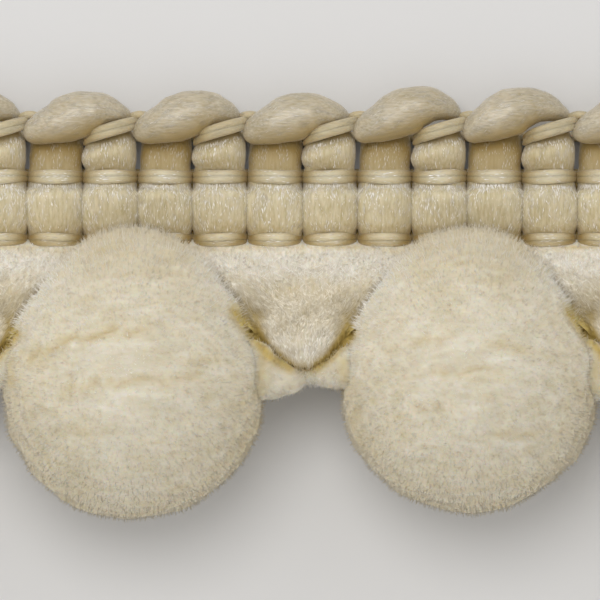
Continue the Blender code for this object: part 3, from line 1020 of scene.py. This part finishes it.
def ball_surface(index, directions):
    """Points of a ball's surface in the given directions from its centre."""
    centre, radius = pompom_centre(index), POMPOMS[index][2]
    to_neck = unit(np.array([0.0, FOOT_Y - centre[1], -NECK_DROP]))
    reach = np.full(len(directions), radius)
    reach += CROWN_REACH * np.clip(directions[:, 1], 0, 1) ** CROWN_SHARPNESS
    reach += NECK_REACH * np.clip(directions @ to_neck, 0, 1) ** NECK_SHARPNESS
    reach -= PINCH_DEPTH * np.abs(directions[:, 0]) ** PINCH_SHARPNESS
    local = directions * radius
    reach += 0.10 * waves(local, 6.0, 80 + index) + 0.08 * waves(local, 2.0, 90 + index, 16)
    reach += 0.045 * waves(local * np.array([0.3, 1.0, 1.0]), 0.9, 95 + index, 24)
    reach -= crease_depth(index, local)
    reach -= SLIT_DEPTH * slit_nearness(centre + directions * reach[:, None])
    points = centre + directions * reach[:, None]
    behind = points[:, 2] < 4.6
    points[behind, 1] = np.minimum(points[behind, 1], FOOT_Y - 0.1)
    points[:, 2] = np.maximum(points[:, 2], 0.0)
    return points


def joint_nearness(directions):
    """How near directions from a ball's centre are to its seams with the tufts, from 0 to 1."""
    height = np.exp(-(((directions[:, 2] - JOINT_HEIGHT) / JOINT_SPREAD) ** 2))
    beside = smooth_step((np.abs(directions[:, 0]) - 0.25) / 0.35)
    return JOINT_STRENGTH * height * beside * smooth_step((directions[:, 1] + 0.15) / 0.30)


def ball_painted_shade(index, directions):
    """How much painted shade a ball has in its creases and at its sides."""
    creases = crease_depth(index, directions * POMPOMS[index][2])
    sides = (1 - np.abs(directions[:, 2])) ** 1.2 * (1 - joint_nearness(directions))
    return CREASE_SHADE * creases + SIDE_SHADE * sides


def sphere_mesh():
    import bmesh

    bm = bmesh.new()
    bmesh.ops.create_icosphere(bm, subdivisions=BALL_SUBDIVISIONS, radius=1.0)
    points = np.array([vert.co[:] for vert in bm.verts])
    faces = np.array([[vert.index for vert in face.verts] for face in bm.faces])
    bm.free()
    return unit(points), faces


def spiral_directions(count):
    i = np.arange(count) + 0.5
    height = 1 - 2 * i / count
    flat = np.sqrt(1 - height**2)
    turn = math.pi * (3 - math.sqrt(5)) * i
    return np.stack([flat * np.cos(turn), flat * np.sin(turn), height], 1)


def make_pompom(index, ball, body_material, fuzz_material):
    directions, faces = ball
    name = index + 1
    surface = ball_surface(index, directions) - directions * BODY_SINK
    surface[:, 2] = np.maximum(surface[:, 2], 0.02)
    joint = joint_nearness(directions)
    # Painted light at the seams with the tufts, painted shade in the creases and at the sides.
    ball = body((surface, faces), 0.5 + JOINT_PAINTED_LIGHT * joint, ball_painted_shade(index, directions))
    ball["facing"] = unit(smooth_facing(surface, faces) + UP * JOINT_LIGHT * joint[:, None])
    add_piece(
        f"pompom_body_{name}",
        [ball],
        body_material,
        "pompom_yarn",
        [f"pompom_{name}"],
    )
    rng = np.random.default_rng(100 + index)
    ways = unit(spiral_directions(FUZZ_COUNT) + rng.normal(0, 0.012, (FUZZ_COUNT, 3)))
    kept = (ways[:, 2] > -0.6) | (rng.random(FUZZ_COUNT) < UNDER_FUZZ)
    ways = ways[kept & (ways[:, 2] > -0.975)]
    tilt = rng.normal(size=ways.shape)
    tilt -= ways * (tilt * ways).sum(1, keepdims=True)
    tilt = unit(tilt) * rng.uniform(0.0, FUZZ_TILT, (len(ways), 1))
    surface = ball_surface(index, ways)
    out = unit(ways + tilt)
    length = rng.uniform(*FUZZ_LENGTH, (len(ways), 1))
    length *= 1 + CROWN_FUZZ * np.clip(ways[:, 1:2], 0, 1) ** 4
    low = np.exp(-(((ways[:, 2:] - 0.2) / 0.25) ** 2)) * smooth_step((ways[:, 1:2] + 0.1) / 0.15)
    length *= 1 + JOINT_FUZZ * low
    base = surface - ways * FUZZ_SINK
    tip = base + out * length
    tip[:, 2] = np.maximum(tip[:, 2], 0.03)
    width = FUZZ_HALF_WIDTH * rng.uniform(0.7, 1.3, len(ways))
    joint = joint_nearness(ways)[:, None]
    facing = unit(ways + UP * JOINT_LIGHT * (low + joint))
    fuzz = spikes(base, tip, facing, width, rng, ball_painted_shade(index, ways))
    # Painted light on the fuzz by the seams with the tufts.
    fuzz["tone"] = fuzz["tone"] + JOINT_PAINTED_LIGHT * np.repeat(low[:, 0], 4)
    add_piece(f"pompom_fuzz_{name}", [fuzz], fuzz_material, "pompom_yarn")


def sheet_rings(table, ring_count, side_count, tie_x):
    """Rings round a thick sheet of yarn, read from a table of its outline."""
    drop, left, right, face, thick = route_through(table, ring_count).T
    turn = 2 * math.pi * np.arange(side_count) / side_count
    across = np.sign(np.cos(turn)) * np.abs(np.cos(turn)) ** 0.9
    out = np.sign(np.sin(turn)) * np.abs(np.sin(turn)) ** 0.7
    u = (left + right)[:, None] / 2 + across[None, :] * (right - left)[:, None] / 2
    z = (face - thick / 2)[:, None] + out[None, :] * thick[:, None] / 2
    y = np.broadcast_to(-drop[:, None], u.shape)
    return np.stack([tie_x + u, FOOT_Y + y, z], -1), np.broadcast_to(out > 0, u.shape)


def merged_with_balls(rings, skirt):
    """Heights of a face that rises into the balls beside it: smoothly where there is a skirt."""
    height = rings[..., 2]
    lean = math.hypot(1.0, SKIRT_SLOPE)
    for index in range(POMPOM_COUNT):
        centre, radius = pompom_centre(index), POMPOMS[index][2]
        away = np.hypot(rings[..., 0] - centre[0], rings[..., 1] - centre[1])
        sideways = np.abs(rings[..., 0] - centre[0]) / np.maximum(away, 0.01)
        own = skirt * smooth_step((sideways - SKIRT_SIDE[0]) / (SKIRT_SIDE[1] - SKIRT_SIDE[0]))
        upward = np.clip((rings[..., 1] - centre[1]) / radius, 0, 1)
        radius = radius + CROWN_REACH * upward**CROWN_SHARPNESS
        ball = centre[2] + np.sqrt(np.clip(radius**2 - away**2, 0, None))
        ball -= 3.0 * np.clip(away - radius, 0, None)
        touch = radius * SKIRT_SLOPE / lean
        cone = np.minimum(centre[2] + radius / lean - SKIRT_SLOPE * (away - touch), SKIRT_HEIGHT)
        ball += np.where(away > touch, cone - ball, 0.0) * own
        blend = np.maximum(FILLET * own, 0.01)
        near = np.clip(blend - np.abs(ball - height), 0, None) / blend
        sunk = FILLET_SINK * np.clip(ball - height, 0, LEAST_SINK)
        sunk *= 1 - own * smooth_step((away - touch) / SKIRT_RISE)
        height = np.maximum(ball, height) + near**2 * blend / 4 - sunk
    return height


def tuft_rings(tie_x):
    """Rings of a tuft's body: bundles at the heading, gathered to a rounded tip."""
    rings, is_front = sheet_rings(TUFT_OUTLINE, TUFT_RINGS, TUFT_SIDES, tie_x)
    u, drop = rings[..., 0] - tie_x, FOOT_Y - rings[..., 1]
    valley = (1 - np.abs(np.sin(math.pi * u / COLUMN_PITCH))) ** 2
    near_top = np.clip(1 - drop / TUFT_FOLD_END, 0, 1) * np.clip(drop + 0.3, 0, 1)
    folds = TUFT_FOLDS * valley * near_top
    for u1, drop1, u2, drop2, depth in TUFT_CREASES:
        along = np.array([u2 - u1, drop2 - drop1])
        length = np.linalg.norm(along)
        along /= length
        share = ((u - u1) * along[0] + (drop - drop1) * along[1]) / length
        off = (u - u1) * along[1] - (drop - drop1) * along[0]
        near = np.exp(-((off / TUFT_CREASE_HALF_WIDTH) ** 2))
        folds = folds + depth * near * np.clip(4 * share, 0, 1) * np.clip(4 - 4 * share, 0, 1)
    lumps = 0.12 * waves(rings, 2.6, 120) + 0.02 * waves(rings * np.array([1.0, 0.3, 0.3]), 0.6, 121, 14)
    rings[..., 2] += np.where(is_front, lumps - folds, 0.0)
    merged = merged_with_balls(rings, smooth_step((SKIRT_END - drop) / SKIRT_FADE))
    share = np.where(is_front, smooth_step(drop / SKIRT_TOP), 0.0)
    rings[..., 2] += (merged - rings[..., 2]) * share
    end = TRIM_LENGTH / 2 - 0.2
    rings[..., 0] = np.clip(rings[..., 0], -end, end)
    rings[..., 2] = np.maximum(rings[..., 2], 0.3)
    return rings


def turned_up(facing):
    """Facings turned towards the front, as a fluffy surface catches light all over."""
    return unit(facing + np.array([0.0, 0.0, TUFT_LIGHT]))


def make_tuft(number, tie_x, body_material, fibre_material):
    rng = np.random.default_rng(140 + number)
    rings = tuft_rings(tie_x)
    deep, _ = sheet_rings(DEEP_OUTLINE, DEEP_RINGS, DEEP_SIDES, tie_x)
    end = TRIM_LENGTH / 2 - 0.2
    deep[..., 0] = np.clip(deep[..., 0], -end, end)
    points, faces = closed_tube(rings)
    deep_points, deep_faces = closed_tube(deep)
    # Painted shade over the yarn behind, fading out at its lower end.
    deep_painted_shade = DEEP_SHADE * smooth_step((DEEP_END - FOOT_Y + deep_points[:, 1]) / DEEP_FADE)
    deep_painted_shade *= np.abs(deep_points[:, 0]) < end - 0.01
    sheet = body((points, faces), tuft_tone(points), tuft_painted_shade(points))
    sheet["facing"] = turned_up(smooth_facing(points, faces))
    parts = [sheet, body((deep_points, deep_faces), 0.5, deep_painted_shade)]
    add_piece(f"tuft_body_{number}", parts, body_material, "tuft_yarn", [f"tuft_{number}"])
    step = np.linalg.norm(np.diff(rings.mean(1), axis=0), axis=1).mean()
    low, side = even_places(rings, TUFT_FIBRES, rng)
    reach = rng.uniform(*TUFT_FIBRE_LENGTH, len(low)) / step
    drift = rng.normal(0, 0.6, len(low))
    places = []
    for share, lift in ((0.0, -0.04), (0.5, 0.01), (1.0, 0.03)):
        at = np.clip(low + reach * share, 0, TUFT_RINGS - 1.001)
        place = read_grid(rings, at, side + drift * share)
        place[:, 2] += lift
        places.append(place)
    out = grid_facing(rings, low + reach / 2, side + drift / 2)
    width = FIBRE_HALF_WIDTH * rng.uniform(0.8, 1.4, len(out))
    laid = laid_fibres(*places, out, width, rng, tuft_painted_shade(places[1]))
    at, side = even_places(rings, TUFT_SPIKES, rng)
    base = read_grid(rings, at, side)
    out = grid_facing(rings, at, side)
    flow = unit(read_grid(rings, at + 2.0, side) - base)
    way = unit(flow + 0.45 * out + np.array([0.0, -0.3, 0.0]) + rng.normal(0, 0.3, base.shape))
    base = base - 0.06 * out
    tip = base + way * rng.uniform(*TUFT_SPIKE_LENGTH, (len(base), 1))
    width = FUZZ_HALF_WIDTH * rng.uniform(0.7, 1.2, len(base))
    standing = spikes(base, tip, out, width, rng, tuft_painted_shade(base))
    bridging = make_seam_fibres(rings, rng)
    for part in (laid, standing, bridging):
        part["facing"] = turned_up(part["facing"])
        part["points"][:, 0] = np.clip(part["points"][:, 0], -end, end)
        part["tone"] = part["tone"] + tuft_tone(part["points"]) - 0.5
    add_piece(f"tuft_fibres_{number}", [laid, standing, bridging], fibre_material, "tuft_yarn")


def make_seam_fibres(rings, rng):
    """Fibres of a tuft that lean over the balls beside it and hide the seam."""
    at = rng.uniform(1.0, len(rings) - 3.0, SEAM_TRIES)
    side = rng.uniform(1.0, rings.shape[1] / 2 - 1.0, SEAM_TRIES)
    base = read_grid(rings, at, side)
    over = over_balls(base)
    kept = (over > SEAM_REACH[0]) & (over < SEAM_REACH[1]) & (FOOT_Y - base[:, 1] < SEAM_END)
    kept &= (FOOT_Y - base[:, 1] > 0.4) & (np.abs(base[:, 0]) < TRIM_LENGTH / 2 - 0.3)
    base = base[kept][:SEAM_FIBRES]
    centres = np.array([pompom_centre(index) for index in range(POMPOM_COUNT)])
    away = np.linalg.norm(base[:, None] - centres[None], axis=2)
    to_ball = unit((centres[np.argmin(away, axis=1)] - base) * np.array([1.0, 1.0, 0.0]))
    up = np.array([0.0, 0.0, 1.0])
    way = unit(0.5 * to_ball + 0.8 * up + np.array([0.0, -0.3, 0.0]) + rng.normal(0, 0.35, base.shape))
    tip = base + way * rng.uniform(*SEAM_LENGTH, (len(base), 1))
    width = FUZZ_HALF_WIDTH * rng.uniform(0.7, 1.2, len(base))
    out = np.broadcast_to(up, base.shape)
    return spikes(base - 0.15 * up, tip, out, width, rng, tuft_painted_shade(base))


def tuft_painted_shade(places):
    """Painted shade across a tuft's middle; none at the heading and at its tip."""
    drop = FOOT_Y - places[:, 1]
    return TUFT_MIDDLE_SHADE * smooth_step((drop - 1.2) / 2.5) * smooth_step((8.6 - drop) / 3.5)


# A tuft's tone, lighter towards the heading: painted light on its top.
def tuft_tone(places):
    return TUFT_TONE + TUFT_TOP_PAINTED_LIGHT * smooth_step((3.6 - FOOT_Y + places[:, 1]) / 3.0)


def even_places(rings, count, rng):
    """Places on the front of a tuft, thinned where its rings are narrow, that no ball hides."""
    at = rng.uniform(1.0, len(rings) - 3.0, count)
    side = rng.uniform(1.0, rings.shape[1] / 2 - 1.0, count)
    widths = np.ptp(rings[..., 0], axis=1)
    kept = rng.random(count) < np.interp(at, np.arange(len(rings)), widths / widths.max()) + 0.05
    places = read_grid(rings, at, side)
    kept &= over_balls(places) > -0.1
    kept &= np.abs(places[:, 0]) < TRIM_LENGTH / 2 - 0.3
    return at[kept], side[kept]


def over_balls(places):
    """How far places lie over the balls' surfaces."""
    over = np.full(len(places), np.inf)
    for index in range(POMPOM_COUNT):
        away = places - pompom_centre(index)
        distance = np.linalg.norm(away, axis=1)
        upward = np.clip(away[:, 1] / distance, 0, 1)
        over = np.minimum(over, distance - POMPOMS[index][2] - CROWN_REACH * upward**CROWN_SHARPNESS)
    return over


def grid_facing(rings, at, side):
    """The outward direction of a tube of rings, front side up."""
    along = read_grid(rings, at + 0.5, side) - read_grid(rings, np.maximum(at - 0.5, 0), side)
    around = read_grid(rings, at, side + 0.5) - read_grid(rings, at, side - 0.5)
    facing = unit(np.cross(along, around) + 1e-9)
    return facing * np.where(facing[:, 2:3] < 0, -1.0, 1.0)


def read_grid(rings, at, side):
    """Points between the points of a tube's rings."""
    count, sides, _ = rings.shape
    i, j = np.floor(at).astype(int), np.floor(side).astype(int)
    u, v = (at - i)[:, None], (side - j)[:, None]
    k = np.minimum(i + 1, count - 1)
    j, m = j % sides, (j + 1) % sides
    return (
        rings[i, j] * (1 - u) * (1 - v)
        + rings[k, j] * u * (1 - v)
        + rings[i, m] * (1 - u) * v
        + rings[k, m] * u * v
    )


def make_tie(number, tie_x, body_material, fuzz_material):
    rng = np.random.default_rng(170 + number)
    route = route_through(TIE_ROUTE, TIE_RINGS)
    centres = route[:, :3] + np.array([tie_x, FOOT_Y, 0.0])
    tall, deep = route[:, 3], route[:, 4]
    rings = swept(centres, tall, deep, TIE_SIDES)
    rings += unit(rings - centres[:, None]) * (waves(rings, 1.5, 180) * 0.06)[..., None]
    end = TRIM_LENGTH / 2 - 0.2
    rings[..., 0] = np.clip(rings[..., 0], -end, end)
    points, faces = closed_tube(rings)
    at = rng.uniform(1, TIE_RINGS - 2, TIE_FIBRES)
    base = read_grid(rings, at, rng.uniform(0, TIE_SIDES, TIE_FIBRES))
    kept = np.abs(base[:, 0]) < end - 0.1
    at, base = at[kept], base[kept]
    out = unit(base - centres[at.astype(int)])
    tilt = rng.normal(0, 0.6, out.shape)
    tip = base + unit(out + tilt) * rng.uniform(0.22, 0.45, (len(base), 1))
    width = FUZZ_HALF_WIDTH * rng.uniform(0.7, 1.2, len(base))
    fuzz = spikes(base - out * 0.10, tip, out, width, rng)
    fuzz["points"][:, 0] = np.clip(fuzz["points"][:, 0], -end, end)
    add_piece(f"tie_roll_{number}", [body((points, faces), 0.5)], body_material, "tie_yarn", [f"tie_{number}"])
    add_piece(f"tie_fuzz_{number}", [fuzz], fuzz_material, "tie_yarn")


def make_camera():
    data = bpy.data.cameras.new("photo_camera")
    width = PHOTO_PIXELS * MM_PER_PIXEL
    data.sensor_width = SENSOR_WIDTH
    data.lens = SENSOR_WIDTH * CAMERA_DISTANCE / width
    data.clip_start = 0.01
    camera = bpy.data.objects.new("photo_camera", data)
    x = (PHOTO_PIXELS / 2 - PHOTO_MIDDLE_X) * MM_PER_PIXEL
    y = FOOT_Y + (PHOTO_FOOT_Y - PHOTO_PIXELS / 2) * MM_PER_PIXEL
    camera.location = np.array([x, y, FACE_HEIGHT + CAMERA_DISTANCE]) * MM
    bpy.context.scene.collection.objects.link(camera)
    bpy.context.scene.camera = camera


def make_floor():
    size = 1500.0
    corners = np.array([(-1, -1), (1, -1), (1, 1), (-1, 1)]) * size / 2 * MM
    mesh = bpy.data.meshes.new("floor")
    mesh.from_pydata([(x, y, -0.02 * MM) for x, y in corners], [], [(0, 1, 2, 3)])
    material = bpy.data.materials.new("floor")
    material.use_nodes = True
    shader = material.node_tree.nodes["Principled BSDF"]
    shader.inputs["Base Color"].default_value = (0.72, 0.72, 0.73, 1.0)
    shader.inputs["Roughness"].default_value = 0.9
    shader.inputs["Specular IOR Level"].default_value = 0.1
    mesh.materials.append(material)
    floor = bpy.data.objects.new("floor", mesh)
    bpy.context.scene.collection.objects.link(floor)


def add_area_light(name, place, aim, size, power, colour):
    data = bpy.data.lights.new(name, "AREA")
    data.shape = "DISK"
    data.size = size * MM
    data.energy = power
    data.color = colour
    light = bpy.data.objects.new(name, data)
    light.location = np.array(place) * MM
    from mathutils import Vector

    way = Vector(np.array(aim) - np.array(place))
    light.rotation_euler = way.to_track_quat("-Z", "Y").to_euler()
    bpy.context.scene.collection.objects.link(light)


def make_lights():
    add_area_light("key", (-50, 125, 450), (0, 0, 5), 240, 0.76, (1.0, 0.98, 0.94))
    add_area_light("side", (-320, 240, 240), (0, 0, 5), 160, 0.16, (1.0, 0.98, 0.94))
    world = bpy.data.worlds.new("studio")
    world.use_nodes = True
    world.node_tree.nodes["Background"].inputs["Color"].default_value = (1.0, 0.99, 0.97, 1.0)
    world.node_tree.nodes["Background"].inputs["Strength"].default_value = 0.66
    bpy.context.scene.world = world
    bpy.context.scene.view_settings.view_transform = "Standard"


# Colours of painted shade in recesses: a deep brown for the heading and loops, a softer one for balls, tufts and
# ties.
PAINTED_SHADE_BROWN = (0.37, 0.26, 0.09)
SOFT_PAINTED_SHADE_BROWN = (0.56, 0.41, 0.12)


def main():
    make_camera()
    make_floor()
    make_lights()
    heading_yarn = yarn_material(
        "heading_yarn", (0.48, 0.41, 0.23), (0.80, 0.73, 0.56), PAINTED_SHADE_BROWN, (1.0, 0.12, 0.5), 0.18, 0.45, 0.7, 0.35, 0.3, contrast=2.0
    )
    heading_fibre = yarn_material(
        "heading_fibre", (0.50, 0.42, 0.27), (1.0, 0.97, 0.92), PAINTED_SHADE_BROWN, (1, 1, 1), 1.0, 0.0, 0.3, 0.2, gloss=0.8, contrast=1.8
    )
    thread_yarn = yarn_material(
        "thread_yarn", (0.45, 0.37, 0.22), (0.76, 0.68, 0.50), PAINTED_SHADE_BROWN, (0.12, 1.0, 1.0), 0.12, 0.5, 0.45, 0.3, 0.3
    )
    loop_cord = yarn_material(
        "loop_cord", (0.37, 0.30, 0.17), (0.86, 0.80, 0.69), PAINTED_SHADE_BROWN, (0.2, 1.0, 1.0), 0.14, 0.4, 0.33, 0.3, 0.3, gloss=0.8, turn=-0.4
    )
    pompom_yarn = yarn_material(
        "pompom_yarn",
        (0.59, 0.53, 0.38),
        (0.78, 0.75, 0.66),
        SOFT_PAINTED_SHADE_BROWN,
        (0.3, 1.0, 1.0),
        0.9,
        0.4,
        0.9,
        0.6,
        soft=0.7,
        reach=2.0,
        contrast=1.8,
    )
    pompom_fuzz = yarn_material(
        "pompom_fuzz",
        (0.61, 0.54, 0.39),
        (0.87, 0.85, 0.81),
        SOFT_PAINTED_SHADE_BROWN,
        (0.3, 1.0, 1.0),
        0.9,
        0.0,
        0.3,
        0.5,
        gloss=0.8,
        contrast=1.1,
    )
    tuft_yarn = yarn_material(
        "tuft_yarn", (0.60, 0.52, 0.36), (0.94, 0.89, 0.78), SOFT_PAINTED_SHADE_BROWN, (1.0, 0.15, 0.2), 0.24, 0.4, 0.85, 0.4, 0.5, 1.0, contrast=2.0
    )
    tuft_fibre = yarn_material(
        "tuft_fibre", (0.60, 0.52, 0.37), (0.96, 0.93, 0.86), SOFT_PAINTED_SHADE_BROWN, (1, 1, 1), 1.5, 0.0, 0.3, 0.3, gloss=0.8
    )
    make_columns(heading_yarn)
    make_column_fibres(heading_fibre)
    make_threads(thread_yarn)
    for index in range(LOOP_COUNT):
        make_loop(index, loop_cord)
    ball = sphere_mesh()
    for index in range(POMPOM_COUNT):
        make_pompom(index, ball, pompom_yarn, pompom_fuzz)
    for number in range(1, POMPOM_COUNT + 2):
        tie_x = (number - 1 - POMPOM_COUNT / 2) * POMPOM_PITCH
        make_tuft(number, tie_x, tuft_yarn, tuft_fibre)
        make_tie(number, tie_x, pompom_yarn, pompom_fuzz)
    build_pieces()


main()
